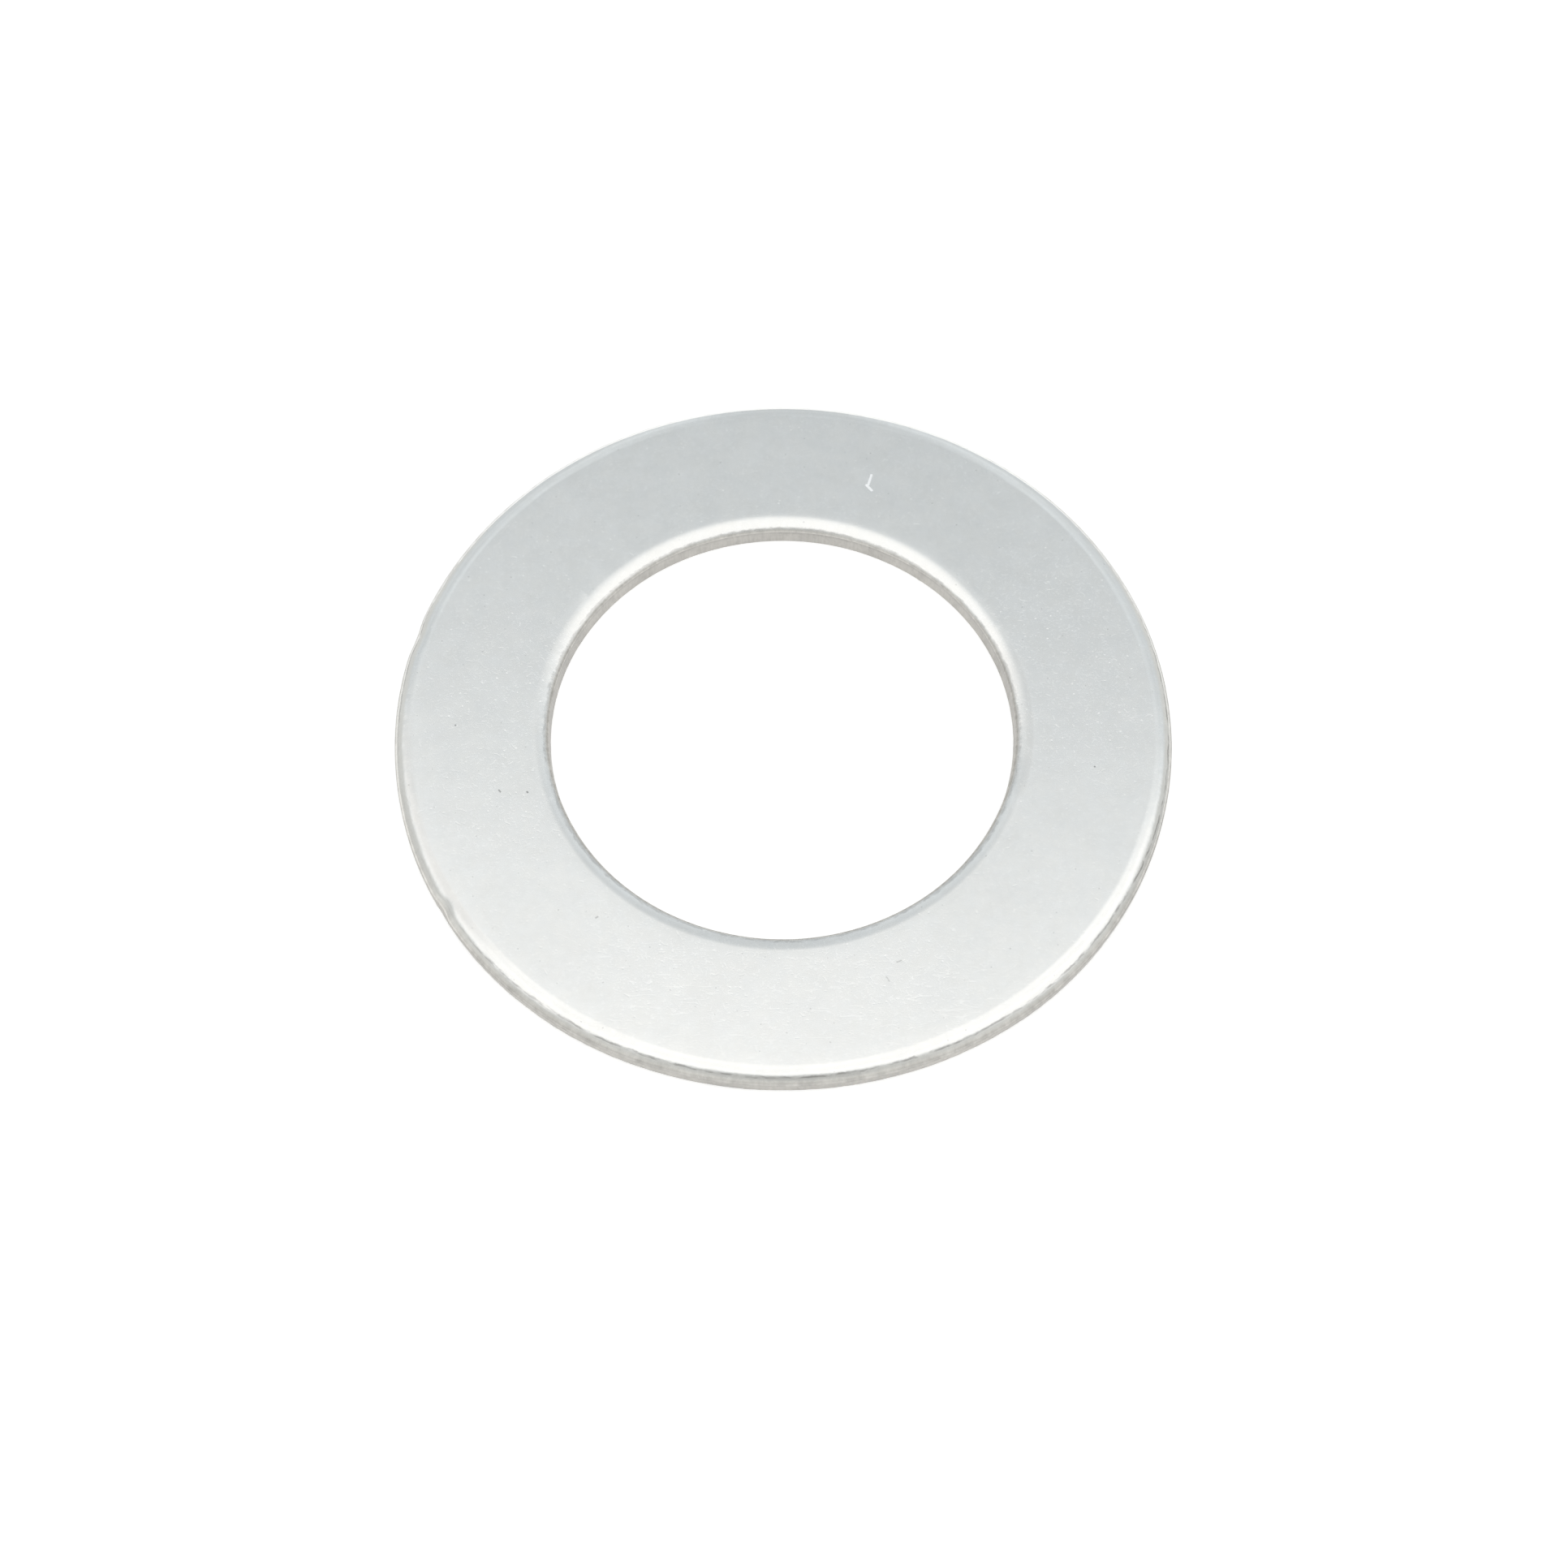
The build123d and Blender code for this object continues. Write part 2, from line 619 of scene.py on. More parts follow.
# %% Group: nicks, their place and heading
tree, given, out = new_group(
    "nicks",
    {"Vector": VECTOR, "Spacing": NUMBER, "Length": NUMBER, "Width": NUMBER}
    | {"Bend": NUMBER, "Share": NUMBER, "Seed": NUMBER},
    {"Mask": NUMBER},
)
moved = on_vectors(tree, "ADD", given["Vector"], given["Seed"])
grid = {"Vector": moved, "Scale": calculate(tree, "DIVIDE", 1.0, given["Spacing"])}
cells = add_node(tree, "ShaderNodeTexVoronoi", grid, voronoi_dimensions="2D").outputs
chance = add_node(tree, "ShaderNodeSeparateColor", {"Color": cells["Color"]}).outputs
offset = on_vectors(tree, "SUBTRACT", moved, cells["Position"])
lean = times(tree, calculate(tree, "SUBTRACT", chance["Green"], 0.5), 2 * math.pi)
turned = add_node(
    tree, "ShaderNodeVectorRotate", {"Vector": offset, "Angle": lean}, rotation_type="Z_AXIS"
)
along = parts_of(tree, turned.outputs[0])

# %% Group: nicks, their length, bend and width
SHORTEST = 0.2  # as a share of the longest
NICK_EDGE = 0.5, 0.25

own_length = calculate(tree, "MULTIPLY_ADD", chance["Blue"], 1 - SHORTEST, SHORTEST)
own_length = times(tree, own_length, given["Length"])
far = calculate(tree, "DIVIDE", along["X"], own_length)
bow = calculate(tree, "SUBTRACT", chance["Blue"], 0.5)
bow = times(tree, bow, given["Bend"], times(tree, far, far), own_length)
aside = calculate(tree, "DIVIDE", total(tree, along["Y"], bow), given["Width"])
squeezed = add_node(tree, "ShaderNodeCombineXYZ", {"X": far, "Y": aside}).outputs[0]
shape = step(tree, on_vectors(tree, "LENGTH", squeezed), *NICK_EDGE)
present = calculate(tree, "LESS_THAN", chance["Red"], given["Share"])
tree.links.new(times(tree, shape, present), out["Mask"])
count_nodes("Nicks")

# %% [markdown]
# Between the nicks lie wisps: curled scuffs as fine as a hair, where rings slid over each other. Where
# a noise passes through its middle value it draws just such a wandering line, and a second noise keeps
# only short pieces of it.

# %% Group: wisps
PIECES_PER_CURL = 1.7
PIECE_FADE = 0.0, 0.06

tree, given, out = new_group(
    "wisps",
    {"Vector": VECTOR, "Size": NUMBER, "Width": NUMBER, "Share": NUMBER, "Seed": NUMBER},
    {"Mask": NUMBER},
)
moved = on_vectors(tree, "ADD", given["Vector"], given["Seed"])
scale = calculate(tree, "DIVIDE", 1.0, given["Size"])
course = add_node(tree, "ShaderNodeTexNoise", {"Vector": moved, "Scale": scale, "Detail": 1})
cut_up = {"Vector": given["Vector"], "Scale": times(tree, scale, PIECES_PER_CURL), "Detail": 0}
pieces = add_node(tree, "ShaderNodeTexNoise", cut_up)
hair = step(tree, apart(tree, course.outputs["Fac"], 0.5), given["Width"], 0.0)
left_out = calculate(tree, "SUBTRACT", 1.0, given["Share"])
kept = step(tree, calculate(tree, "SUBTRACT", pieces.outputs["Fac"], left_out), *PIECE_FADE)
tree.links.new(times(tree, hair, kept), out["Mask"])
count_nodes("Wisps")

# %% [markdown]
# Some marks are not chance: the one scratch that everybody sees, a few dark pits, and the patches where
# nicks crowd together. The stroke group masks all that lies within a given reach of a line between two
# points. With both ends at one place it is a round spot, and with a wide edge it is a soft patch.

# %% Group: stroke
tree, given, out = new_group(
    "stroke",
    {"Position": VECTOR, "Start": VECTOR, "End": VECTOR, "Core": NUMBER, "Edge": NUMBER},
    {"Mask": NUMBER},
)
offset = on_vectors(tree, "SUBTRACT", given["Position"], given["Start"])
offset = on_vectors(tree, "MULTIPLY", offset, FLAT)
course = on_vectors(tree, "SUBTRACT", given["End"], given["Start"])
shadow = on_vectors(tree, "DOT_PRODUCT", offset, course)
share = calculate(tree, "DIVIDE", shadow, on_vectors(tree, "DOT_PRODUCT", course, course))
share = add_node(tree, "ShaderNodeClamp", {"Value": share}).outputs[0]
away = on_vectors(tree, "DISTANCE", offset, on_vectors(tree, "SCALE", course, share))
tree.links.new(step(tree, away, given["Edge"], given["Core"]), out["Mask"])
count_nodes("Stroke")

# %% [markdown]
# A group is a node like any other, so one short function for each places it and fills its inputs.

# %% Short ways to place the groups


def use_group(tree, name, **inputs):
    """Places a group with its inputs filled, and gives its outputs."""
    filled = {key.capitalize(): value for key, value in inputs.items()}
    return add_node(tree, "ShaderNodeGroup", filled, node_tree=bpy.data.node_groups[name]).outputs


def clouds(tree, vector, size, seed):
    """Cloudy patches of that size, swinging round nought."""
    return use_group(tree, "clouds", vector=vector, size=size, seed=seed)["Value"]


def nicks(tree, vector, bend=1.0, **sizes):
    """Short strokes, in a share of the cells of a grid."""
    return use_group(tree, "nicks", vector=vector, bend=bend, **sizes)["Mask"]


def wisps(tree, vector, **sizes):
    """Pieces of fine curled lines."""
    return use_group(tree, "wisps", vector=vector, **sizes)["Mask"]


def stroke(tree, position, start, end, core, edge):
    """1 within core of the line from start to end, fading to 0 at edge."""
    ends = {"start": (*start, 0), "end": (*end, 0)}
    return use_group(tree, "stroke", **ends, position=position, core=core, edge=edge)["Mask"]


# %% [markdown]
# ## Bright steel
#
# The faces and the rolls are bright rolled steel. Its colour is the pale grey of clean iron, a shade
# cooler here and warmer there. Its gloss is soft, because tumbling leaves a skin of dents too small to
# see. The finish is built in layers: clouds, then chance nicks in patches, then the listed marks, and
# last the smear on the foot of each roll, where the punch dragged the metal down.

# %% Start the bright steel


def start_material(name):
    """A material with its node tree and the inputs of its shader."""
    material = bpy.data.materials.new(name)
    material.use_nodes = True
    return material, material.node_tree, material.node_tree.nodes["Principled BSDF"].inputs


steel, tree, shader = start_material("bright_steel")
shader["Metallic"].default_value = 1
spot = use_group(tree, "place_on_ring")
position = spot["Position"]

# %% Clouds of the face
broad = clouds(tree, position, size=1.7, seed=11.0)
middling = clouds(tree, position, size=0.55, seed=5.0)
fine = clouds(tree, position, size=0.16, seed=23.0)
cloudiness = weighted(tree, (broad, 0.012), (middling, 0.016), (fine, 0.016))
count_nodes("Clouds")

# %% [markdown]
# Nicks and scuffs crowd where a ring lay against its neighbours. Three soft patches say where, and a
# cloud breaks their outline up. Several kinds of mark are laid over each other, from bright points to
# hair lines, because one kind alone looks like a pattern.

# %% Nicks and scuffs of the face
patches = total(
    tree,
    stroke(tree, position, (-5.4, 1.2), (-5.2, -1.6), core=0.4, edge=2.2),
    stroke(tree, position, (5.2, 2.6), (5.9, 0.2), core=0.4, edge=2.2),
    stroke(tree, position, (-2.6, -5.2), (2.6, -5.3), core=0.3, edge=1.6),
)
crowding = calculate(tree, "MULTIPLY_ADD", clouds(tree, position, size=0.9, seed=41.0), 0.5, 0.7)
crowded = times(tree, add_node(tree, "ShaderNodeClamp", {"Value": crowding}).outputs[0], patches)
everywhere = calculate(tree, "MULTIPLY_ADD", patches, 0.5, 0.5)
in_swarms = step(tree, clouds(tree, position, size=0.7, seed=45.0), -0.3, 0.5)

sparks = nicks(tree, position, spacing=0.22, length=0.065, width=0.045, share=0.50, seed=3.0)
flecks = nicks(tree, position, spacing=0.30, length=0.22, width=0.030, share=0.45, seed=8.0, bend=1.6)
sparse = nicks(tree, position, spacing=0.80, length=0.18, width=0.040, share=0.30, seed=15.0)
curls = wisps(tree, position, size=0.080, width=0.085, share=0.46, seed=51.0)
scuffs = wisps(tree, position, size=0.20, width=0.025, share=0.38, seed=63.0)

nicked = weighted(tree, (sparks, everywhere, in_swarms, 0.075), (flecks, crowded, 0.05), (sparse, 0.03))
wispy = times(tree, total(tree, curls, scuffs), everywhere, 0.055)
count_nodes("Nicks and scuffs")

# %% [markdown]
# The front of the face also slid along something, which left long streaks. They are wisps on a
# position that is pressed together sideways. Pits are short nicks that take light away.

# %% Streaks and pits of the face
LENGTHWISE = (0.20, 1.0, 1.0)

front = stroke(tree, position, (-2.8, -5.7), (3.0, -5.7), core=0.5, edge=1.6)
lengthwise = on_vectors(tree, "MULTIPLY", position, LENGTHWISE)
streaks = wisps(tree, lengthwise, size=0.12, width=0.055, share=0.40, seed=27.0)
streaked = times(tree, streaks, front, 0.05)
dark_pits = nicks(tree, position, spacing=0.42, length=0.050, width=0.036, share=0.30, seed=71.0)
pits = times(tree, dark_pits, -0.16)
count_nodes("Streaks and pits")

# %% [markdown]
# The plainest marks are put in their places: one hooked scratch at the back, made of two strokes, and
# the darkest pits.

# %% Marks placed one by one
MARKS = [
    # start, end, core, edge, how much lighter or darker
    ((1.767, 5.760), (1.700, 5.530), 0.010, 0.035, 0.34),
    ((1.663, 5.519), (1.768, 5.396), 0.010, 0.036, 0.40),
    ((-4.89, -1.45), (-4.88, -1.46), 0.008, 0.028, -0.55),
    ((-5.43, -1.41), (-5.40, -1.45), 0.006, 0.026, -0.45),
    ((5.97, -0.90), (5.97, -0.90), 0.008, 0.027, -0.55),
    ((-6.32, 0.01), (-6.32, 0.01), 0.008, 0.027, -0.50),
    ((-3.51, -4.13), (-3.48, -4.11), 0.006, 0.028, -0.30),
    ((2.12, -5.05), (2.20, -5.02), 0.004, 0.026, -0.25),
    ((1.92, -5.36), (1.97, -5.44), 0.004, 0.026, -0.22),
]
marked = 0.0
for start, end, core, edge, change in MARKS:
    marked = total(tree, marked, times(tree, stroke(tree, position, start, end, core, edge), change))
scratched = calculate(tree, "MAXIMUM", marked, 0.0)
print("Marks placed by hand:", len(MARKS))

# %% [markdown]
# Where the flat face turns into the roll, rubbing drew two faint lines round the rim. They keep to a
# radius that wanders with clouds made on the turn. On the left of the rim and on the right of the bore
# the rolls also lost some of their shine, and soft masks keep that to those places.

# %% Wear lines along the rim's roll
RIM_ROLL = rim_roll_start / MM
INNER_LINE = RIM_ROLL + 0.06
OUTER_LINE = RIM_ROLL + 0.18

at_radius = add_node(tree, "ShaderNodeCombineXYZ", {"Z": spot["Radius"]}).outputs[0]
around = on_vectors(tree, "ADD", spot["Turn"], at_radius)
wandering_radius = weighted(
    tree,
    (spot["Radius"],),
    (clouds(tree, around, size=1.3, seed=2.0), 0.025),
    (clouds(tree, around, size=0.3, seed=7.0), 0.008),
)


def line(centre, half_width):
    """A soft line round the ring at a wandering radius."""
    return step(tree, apart(tree, wandering_radius, centre), half_width, half_width * 0.3)


patchy = step(tree, clouds(tree, around, size=1.8, seed=19.0), -0.8, 0.6)
inner_line = times(tree, line(INNER_LINE, half_width=0.045), patchy, 0.03)
outer_line = times(tree, line(OUTER_LINE, half_width=0.04), 0.03)
print(f"Wear lines at {INNER_LINE:.2f} and {OUTER_LINE:.2f} mm")

# %% Parts of the rolls that lost their shine
BORE_ROLL = bore_roll_start / MM
ON_RIM_ROLL = RIM_ROLL - 0.01, RIM_ROLL + 0.07
HIGH_ON_RIM_ROLL = RIM_ROLL + 0.24, RIM_ROLL + 0.16
ON_BORE_ROLL = BORE_ROLL, BORE_ROLL - 0.07
ON_THE_LEFT = -4.0, -5.6
NOT_AT_THE_BACK = 2.2, -1.4
NOT_AT_THE_FRONT = -5.4, -4.0

across = parts_of(tree, position)
dulled_left = times(
    tree,
    step(tree, spot["Radius"], *ON_RIM_ROLL),
    step(tree, across["X"], *ON_THE_LEFT),
    step(tree, across["Y"], *NOT_AT_THE_BACK),
    step(tree, across["Y"], *NOT_AT_THE_FRONT),
)
high_roll = step(tree, spot["Radius"], *HIGH_ON_RIM_ROLL)
on_the_right = stroke(tree, position, (4.62, -0.9), (4.55, 1.2), core=0.2, edge=0.9)
dulled_right = times(tree, step(tree, spot["Radius"], *ON_BORE_ROLL), on_the_right)
worn = weighted(
    tree, (inner_line,), (outer_line,), (dulled_left, high_roll, -0.18), (dulled_right, -0.09)
)
count_nodes("Dulled parts")

# %% [markdown]
# Low on each roll the punch dragged the metal down. That smear is duller and darker than the roll, and
# a thin dark line is painted along the crease at its upper border. Both hang on the height, to which
# clouds are added, so that the border is ragged, and a tilt, because the punch stood a little askew.

# %% Where the smear begins
RIM_TILT = 0.0038
RIM_RISE = 0.025
BORE_TILT_SPAN = 0.5, 4.0
BORE_TILT = -0.0105, 0.010
RIM_SMEAR = 0.370, 0.270
BORE_SMEAR = 0.362, 0.325
BOTTOM_FACE = 0.01

outer_half = calculate(tree, "GREATER_THAN", spot["Radius"], middle_radius / MM)
ragged = weighted(
    tree,
    (clouds(tree, around, size=2.5, seed=43.0), 0.008),
    (clouds(tree, around, size=0.22, seed=13.0), 0.006),
    (clouds(tree, around, size=0.06, seed=17.0), 0.003),
)
rim_tilt = calculate(tree, "MULTIPLY_ADD", across["Y"], RIM_TILT, RIM_RISE)
bore_tilt = step(tree, across["Y"], *BORE_TILT_SPAN, *BORE_TILT)
ragged_height = total(tree, spot["Height"], ragged, mix(tree, outer_half, bore_tilt, rim_tilt))
rim_smear = step(tree, ragged_height, *RIM_SMEAR)
bore_smear = step(tree, ragged_height, *BORE_SMEAR)
not_below = calculate(tree, "GREATER_THAN", spot["Height"], BOTTOM_FACE)
smear = times(tree, mix(tree, outer_half, bore_smear, rim_smear), not_below)
count_nodes("Smear")

# %% The painted dark line in the crease
BORE_CREASE = 0.355
RIM_CREASE = 0.347
CREASE_EDGE = 0.013, 0.003
ALONG_THE_RING = (0.22, 0.22, 1.0)

# A thin dark line is painted along the crease here, darker than the metal on either side.
crease_height = mix(tree, outer_half, BORE_CREASE, RIM_CREASE)
drawn_out = on_vectors(tree, "MULTIPLY", around, ALONG_THE_RING)
patchy_grime = step(tree, clouds(tree, drawn_out, size=0.06, seed=29.0), -0.7, 0.5)
grime = times(tree, step(tree, apart(tree, ragged_height, crease_height), *CREASE_EDGE), patchy_grime)
grime_outside = calculate(tree, "MULTIPLY_ADD", dulled_left, -0.5, 0.6)
grime = times(tree, grime, mix(tree, outer_half, 0.30, grime_outside))
count_nodes("Crease_line")

# %% [markdown]
# Now the layers come together. Every mark makes the clean metal lighter or darker, and the smear and
# the painted dark line of the crease are mixed over it. Dragged metal doesn't flash at a glancing
# angle, so its tint is held down there.

# %% Colour of the bright steel
COOL_STEEL = (0.800, 0.802, 0.789, 1)
WARM_STEEL = (0.804, 0.802, 0.783, 1)
WALL_COLOUR = (0.51, 0.495, 0.47)
# the colour of the painted dark line in the crease
GRIME = (0.27, 0.26, 0.25, 1)
CLEAN_EDGE = (1, 1, 1, 1)
EDGE_OF_SMEAR = (0.50, 0.50, 0.49, 1)
FOOT_OF_RIM_ROLL = 0.295, 0.255

warmth = step(tree, clouds(tree, position, size=0.28, seed=37.0), -0.7, 0.7)
tint = mix_colours(tree, warmth, COOL_STEEL, WARM_STEEL)
lightness = total(tree, 1.0, cloudiness, nicked, wispy, streaked, pits, marked, worn)
low_roll = times(tree, step(tree, ragged_height, *FOOT_OF_RIM_ROLL), outer_half)
mottle = weighted(
    tree,
    (1.08,),
    (clouds(tree, around, size=0.12, seed=33.0), 0.16),
    (clouds(tree, around, size=0.4, seed=35.0), 0.08),
    (low_roll, -0.12),
    (dulled_left, 0.28),
)
clean_tint = on_vectors(tree, "SCALE", tint, lightness)
smear_tint = on_vectors(tree, "SCALE", WALL_COLOUR, mottle)
colour = mix_colours(tree, smear, clean_tint, smear_tint)
# the painted dark line of the crease goes over the colour here
colour = mix_colours(tree, grime, colour, GRIME)
tree.links.new(colour, shader["Base Color"])
edge_tint = mix_colours(tree, smear, CLEAN_EDGE, EDGE_OF_SMEAR)
tree.links.new(edge_tint, shader["Specular Tint"])
count_nodes("Colour")

# %% [markdown]
# Nicks, the scratch and the smear scatter light, so each adds to the roughness by its share, and the
# bore's roll is a little duller all round.

# %% Gloss of the bright steel
GLOSS = 0.13
DULL_BORE_ROLL = BORE_ROLL + 0.02, BORE_ROLL - 0.06

gloss = weighted(
    tree,
    (GLOSS,),
    (middling, 0.012),
    (nicked, 0.8),
    (scratched, 0.5),
    (smear, 0.15),
    (step(tree, spot["Radius"], *DULL_BORE_ROLL), 0.08),
)
tree.links.new(gloss, shader["Roughness"])
count_nodes("Gloss")

# %% [markdown]
# The last layer is relief. Its heights are a few ten-thousandths of a millimetre, far too small to
# model, yet they bend what the metal mirrors. The rolls wave more than the face, since the steel was
# stretched there.

# %% Relief of the bright steel
ROLL_ONSET = top / MM - 0.002, top / MM - 0.03


def set_relief(tree, shader, height):
    """Bends the shading by a height in millimetres."""
    bump = add_node(tree, "ShaderNodeBump", {"Height": height, "Distance": MM, "Strength": 1.0})
    tree.links.new(bump.outputs["Normal"], shader["Normal"])


on_roll = times(tree, step(tree, spot["Height"], *ROLL_ONSET), not_below)
roll_waves = weighted(
    tree,
    (clouds(tree, around, size=0.55, seed=3.0), 0.0020),
    (clouds(tree, around, size=0.17, seed=9.0), 0.0007),
)
relief = weighted(
    tree,
    (broad, 0.00020),
    (middling, 0.00006),
    (fine, 0.00002),
    (nicked, -0.012),
    (wispy, -0.004),
    (streaked, -0.003),
    (on_roll, roll_waves),
)
set_relief(tree, shader, relief)
count_nodes("Bright steel")

# %% [markdown]
# ## The cut wall
#
# The wall is darker and warmer than the face: the upper band was burnished by the die and the lower one
# is torn grain, which traps light and a little tumbling dirt. Both carry fine upright drag marks from
# the stroke of the punch, so its clouds are stretched upwards. In the bore the wall is painted darker
# still, most of all just under the roll.

# %% Material of the cut wall
DRAG_STRETCH = 4.0
SOOT_EVERYWHERE = 0.03
SOOT_UNDER_ROLL = 0.14
SOOT_ONSET = 0.19, 0.28
WALL_GLOSS = 0.42

wall, tree, shader = start_material("cut_wall")
shader["Metallic"].default_value = 1
spot = use_group(tree, "place_on_ring")
lift = add_node(tree, "ShaderNodeCombineXYZ", {"Z": times(tree, spot["Height"], 1 / DRAG_STRETCH)})
drawn = on_vectors(tree, "ADD", spot["Turn"], lift.outputs[0])
broad_stain = clouds(tree, spot["Position"], size=2.2, seed=14.0)
blotches = clouds(tree, spot["Position"], size=0.35, seed=4.0)
drag = clouds(tree, drawn, size=0.07, seed=6.0)
grit = clouds(tree, spot["Position"], size=0.06, seed=10.0)
inner_half = calculate(tree, "LESS_THAN", spot["Radius"], middle_radius / MM)
# Painted darkening of the bore's wall, a little all round and strongest just under the roll.
under_the_roll = step(tree, spot["Height"], *SOOT_ONSET)
soot = weighted(tree, (SOOT_EVERYWHERE,), (under_the_roll, SOOT_UNDER_ROLL))
lightness = weighted(
    tree,
    (1.0,),
    (broad_stain, 0.08),
    (blotches, 0.10),
    (drag, 0.07),
    (grit, 0.05),
    (inner_half, soot, -1.0),
)
tree.links.new(on_vectors(tree, "SCALE", WALL_COLOUR, lightness), shader["Base Color"])
wall_gloss = weighted(tree, (WALL_GLOSS,), (blotches, 0.05), (grit, 0.04))
tree.links.new(wall_gloss, shader["Roughness"])
set_relief(tree, shader, weighted(tree, (drag, 0.0012), (grit, 0.0012)))
count_nodes("Cut wall")

# %% [markdown]
# The wall's material goes on the faces of the land and the tear. They are picked by height: below the
# top of the land, and above the bottom face.

# %% Put the materials on


def on_a_wall(p):
    """True below the top of the land and above the bottom face."""
    return HAIR < p.z < (rim_land_top if on_rim(p) else bore_land_top)


ring.data.materials.append(steel)
ring.data.materials.append(wall)
start_editing(ring)
print("Faces of the walls:", pick(ring, on_a_wall, "faces"))
ring.active_material_index = 1
bpy.ops.object.material_slot_assign()
bpy.ops.object.mode_set(mode="OBJECT")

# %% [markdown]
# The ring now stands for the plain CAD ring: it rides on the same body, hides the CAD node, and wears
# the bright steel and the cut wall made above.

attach(ring, "root")
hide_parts(RING)
print("Materials:", [material.name for material in ring.data.materials])

# %% [markdown]
# ## The floor
#
# The ring lies on a plain white sheet. A mesh plane many times its size is enough, and its paint has
# no gloss, so that the light on it stays even. A small glow, seen only by the camera and in the metal,
# lifts the sheet to a clean white, and the paint still shows the soft shadow under the ring.

# %% Floor
FLOOR_SIZE = 100 * rim_radius
FLOOR_COLOUR = (0.85, 0.85, 0.85, 1)
FLOOR_GLOW = 0.42

bpy.ops.object.select_all(action="DESELECT")
bpy.ops.mesh.primitive_plane_add(size=FLOOR_SIZE)
floor = bpy.context.object
floor.name = "floor"
floor_paint, tree, shader = start_material("floor_paint")
ray = add_node(tree, "ShaderNodeLightPath", {}).outputs
seen = calculate(tree, "MAXIMUM", ray["Is Camera Ray"], ray["Is Glossy Ray"])
seen = calculate(tree, "MAXIMUM", seen, ray["Is Transmission Ray"])
shader["Base Color"].default_value = FLOOR_COLOUR
shader["Roughness"].default_value = 1
shader["Specular IOR Level"].default_value = 0
shader["Emission Color"].default_value = (1, 1, 1, 1)
tree.links.new(times(tree, seen, FLOOR_GLOW), shader["Emission Strength"])
floor.data.materials.append(floor_paint)
print("Floor, in metres:", FLOOR_SIZE)

# %% [markdown]
# ## The light
#
# Bright metal has hardly a colour of its own: it shows the room. So the room is kept plain: an even
# pale grey, and one wide softbox hanging over the ring and a little behind it. The bright lines along
# the rolled edges are that softbox, seen in a surface that turns through all directions within a third
# of a millimetre. It is painted on the world rather than hung as a lamp, because then its edge can be
# soft and slightly curved. Every direction is first turned into two angles from straight up, one
# towards the right and one towards the back, so that the box is simply a range of degrees in each.

# %% Two angles for every direction
world = bpy.data.worlds.new("studio")
bpy.context.scene.world = world
world.use_nodes = True
tree = world.node_tree
direction = add_node(tree, "ShaderNodeTexCoord", {}).outputs["Generated"]
from_zenith = calculate(tree, "ARCCOSINE", parts_of(tree, direction)["Z"])
from_zenith = times(tree, from_zenith, 180 / math.pi)
level_part = on_vectors(tree, "NORMALIZE", on_vectors(tree, "MULTIPLY", direction, FLAT))
angles = parts_of(tree, on_vectors(tree, "SCALE", level_part, from_zenith))
rightwards, backwards = angles["X"], angles["Y"]

# %% Softbox
SOFTBOX_MIDDLE = 1.5
SOFTBOX_SIDES = 51.0, 33.0
SOFTBOX_FRONT = -21.0, -11.0
SOFTBOX_BACK = 34.6, 19.0
BACK_SLOPE = 0.12

off_middle = apart(tree, rightwards, SOFTBOX_MIDDLE)
turned_back = calculate(tree, "MULTIPLY_ADD", rightwards, BACK_SLOPE, backwards)
softbox = times(
    tree,
    step(tree, off_middle, *SOFTBOX_SIDES),
    step(tree, backwards, *SOFTBOX_FRONT),
    step(tree, turned_back, *SOFTBOX_BACK),
)
count_nodes("Softbox")

# %% [markdown]
# The room behind the softbox is a little brighter than the rest, except straight behind it, where
# something dim hangs. It is brighter beside the softbox too, and low at the front. Whoever stands at
# the camera shades the room there, and that shade is the dark line along the near edge of the ring.

# %% Back of the room
BACK_WALL = 25.0, 38.0
DIM_MIDDLE = -1.5
DIM_SIDES = 13.0, 5.0
DIM_BACK = 28.0, 32.0
STRIP_INSIDE = 4.0, 12.0
STRIP_OUTSIDE = 27.0, 15.0
STRIP_BACK = 30.0, 38.0

back_wall = step(tree, backwards, *BACK_WALL)
off_dim = apart(tree, rightwards, DIM_MIDDLE)
dim_place = times(tree, step(tree, off_dim, *DIM_SIDES), step(tree, backwards, *DIM_BACK))
strips = times(tree, step(tree, off_middle, *STRIP_INSIDE), step(tree, off_middle, *STRIP_OUTSIDE))
strips = times(tree, strips, step(tree, backwards, *STRIP_BACK))
count_nodes("Back of the room")

# %% Rest of the room
LOW = 42.0, 62.0
AT_THE_FRONT = 10.0, -15.0
HALO_REACH = 36.0, 26.0  # to each side and to the back
HALO_EDGE = 11.0, 1.0
HALO_SIDES = 6.0, 17.0
SHADE_MIDDLE = -31.0
SHADE_REACH = 30.0, 16.0, 1.0  # to each side, and to the front and back
SHADE_EDGE = 1.3, 0.1  # as shares of its reach

low_front = times(tree, step(tree, from_zenith, *LOW), step(tree, backwards, *AT_THE_FRONT))
aside = calculate(tree, "SUBTRACT", off_middle, HALO_REACH[0])
behind = calculate(tree, "SUBTRACT", backwards, HALO_REACH[1])
halo = step(tree, calculate(tree, "MAXIMUM", aside, behind), *HALO_EDGE)
halo = times(tree, halo, step(tree, off_middle, *HALO_SIDES))
off_shade = {"X": rightwards, "Y": apart(tree, backwards, SHADE_MIDDLE)}
off_shade = add_node(tree, "ShaderNodeCombineXYZ", off_shade).outputs[0]
off_shade = on_vectors(tree, "DIVIDE", off_shade, SHADE_REACH)
camera_shade = step(tree, on_vectors(tree, "LENGTH", off_shade), *SHADE_EDGE)

# %% Brightness of the room
ROOM_BRIGHTNESS = 0.735

room = weighted(
    tree,
    (ROOM_BRIGHTNESS,),
    (back_wall, 0.04),
    (strips, 0.10),
    (dim_place, -0.045),
    (low_front, 0.22),
    (halo, 0.12),
    (camera_shade, -0.12),
)
count_nodes("Room")

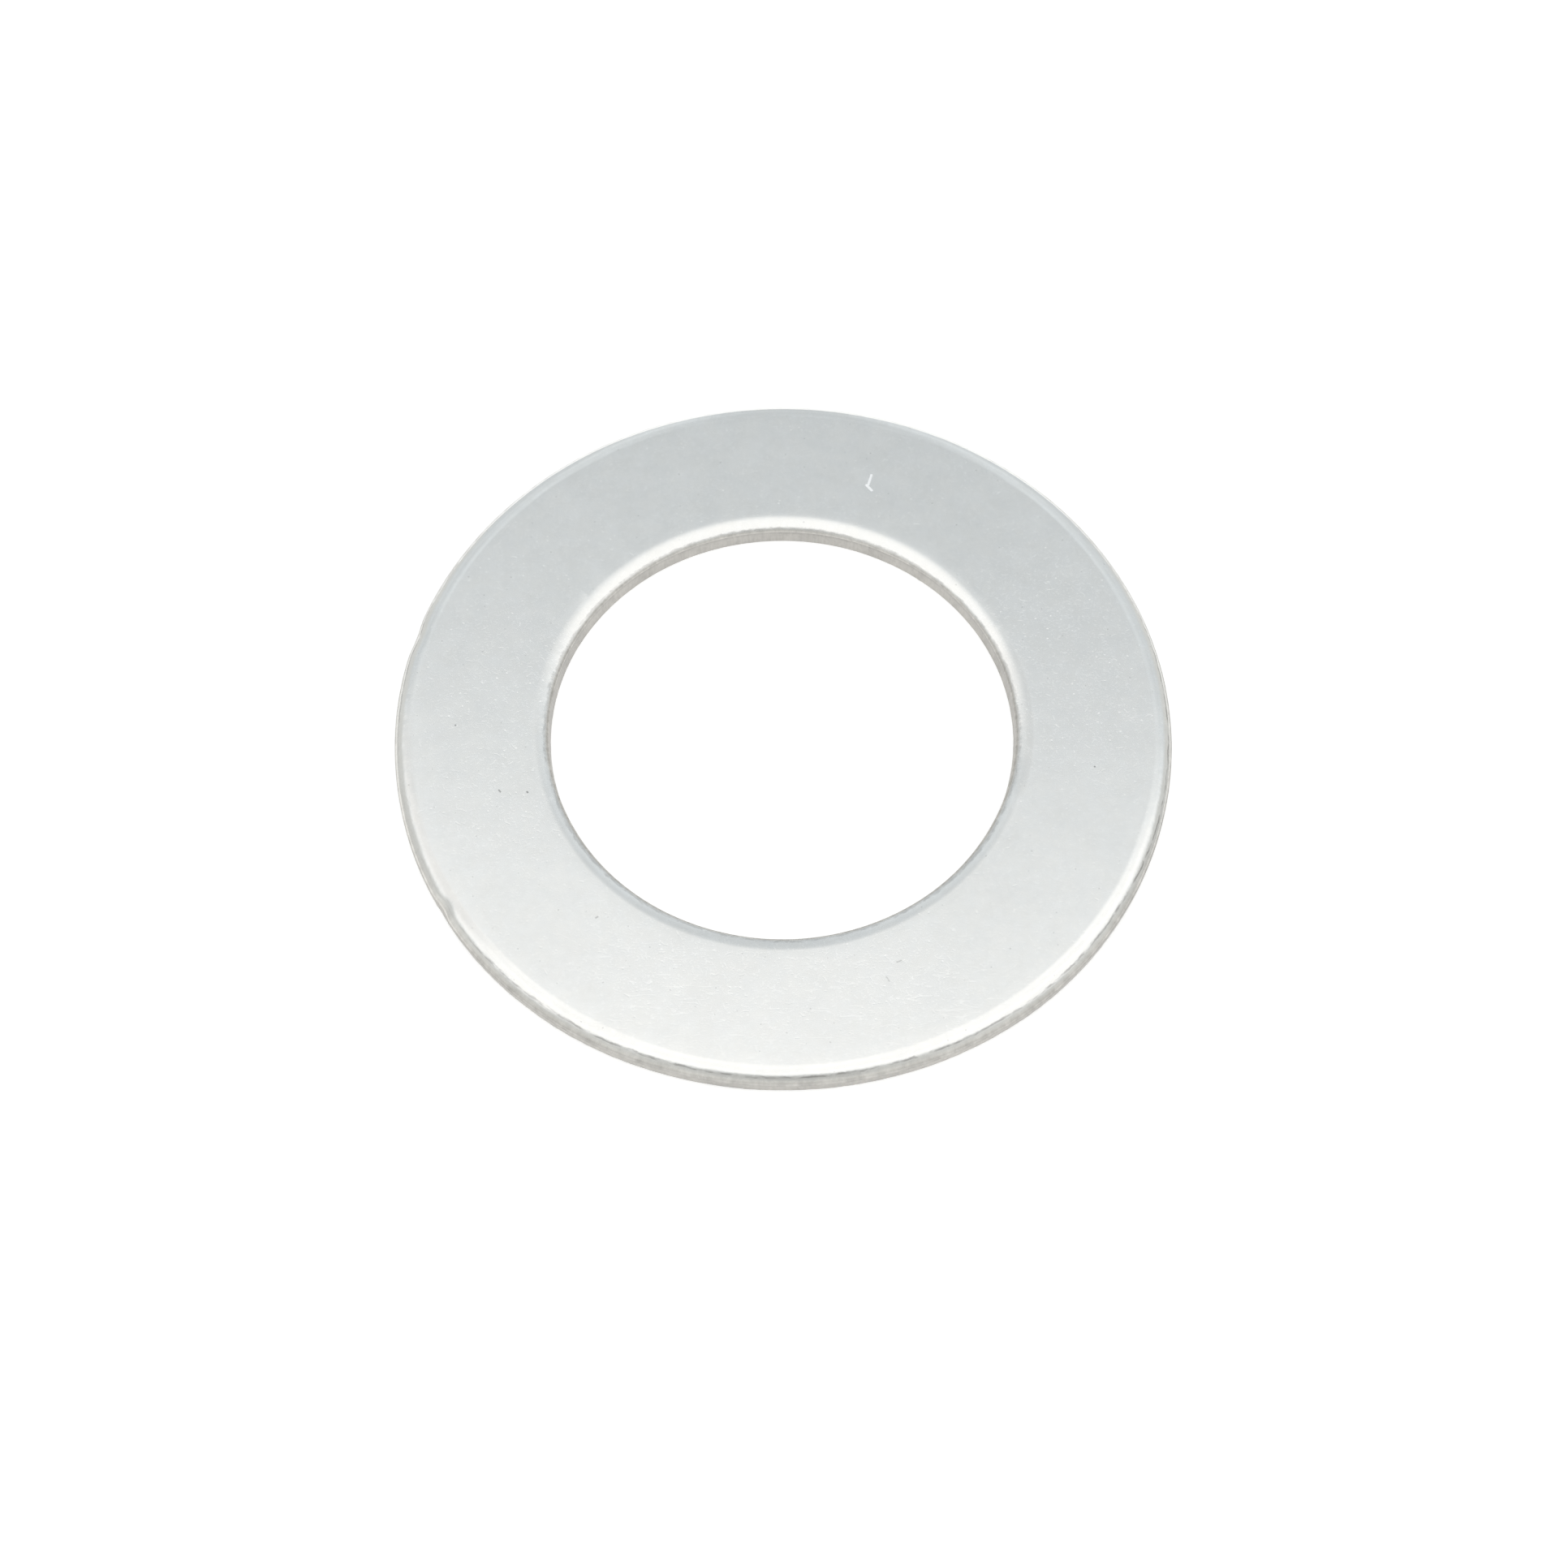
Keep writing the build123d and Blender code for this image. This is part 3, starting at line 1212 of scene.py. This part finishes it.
# %% Colour and strength of the world
SOFTBOX_BRIGHTNESS = 1.25
SOFTBOX_TINT = (1.0, 0.998, 0.988, 1)
CEILING_TINT = (0.945, 0.992, 1.020, 1)
LOW_TINT = (0.985, 0.995, 0.975, 1)
LOW_AT_THE_FRONT = -8.0, -24.0
LOW_AT_THE_SIDES = 34.0, 50.0

low = step(tree, backwards, *LOW_AT_THE_FRONT)
low = calculate(tree, "MAXIMUM", low, step(tree, off_middle, *LOW_AT_THE_SIDES))
room_tint = mix_colours(tree, low, CEILING_TINT, LOW_TINT)
background = tree.nodes["Background"].inputs
tree.links.new(mix(tree, softbox, room, SOFTBOX_BRIGHTNESS), background["Strength"])
tree.links.new(mix_colours(tree, softbox, room_tint, SOFTBOX_TINT), background["Color"])
count_nodes("World")

# %% [markdown]
# ## The camera
#
# A long lens from about nine radii away keeps the circle from bulging, and from two thirds of the way
# up to straight overhead both the bright face and the dark wall of the bore can be seen. The camera is
# placed by its elevation, its distance and how far the ring stands off the middle of the frame.

# %% Camera
CAMERA_ELEVATION = math.radians(61.55)
CAMERA_DISTANCE = 9.453 * rim_radius
LENS = 84.00
SENSOR_WIDTH = 36
NEAREST_SEEN = rim_radius / 10
FRAME_SHIFT_RIGHT = 0.0020 * rim_radius
FRAME_SHIFT_UP = 0.1245 * rim_radius

forward = Vector((0, math.cos(CAMERA_ELEVATION), -math.sin(CAMERA_ELEVATION)))
right = Vector((1, 0, 0))
up = right.cross(forward)
camera_data = bpy.data.cameras.new("camera")
camera_data.lens = LENS
camera_data.sensor_width = SENSOR_WIDTH
camera_data.clip_start = NEAREST_SEEN
camera = bpy.data.objects.new("camera", camera_data)
camera.location = FRAME_SHIFT_RIGHT * right - FRAME_SHIFT_UP * up - CAMERA_DISTANCE * forward
camera.rotation_euler = (math.pi / 2 - CAMERA_ELEVATION, 0, 0)
bpy.context.scene.collection.objects.link(camera)
bpy.context.scene.camera = camera
bpy.context.scene.view_settings.view_transform = "Standard"
print("Camera, in metres:", camera.location)
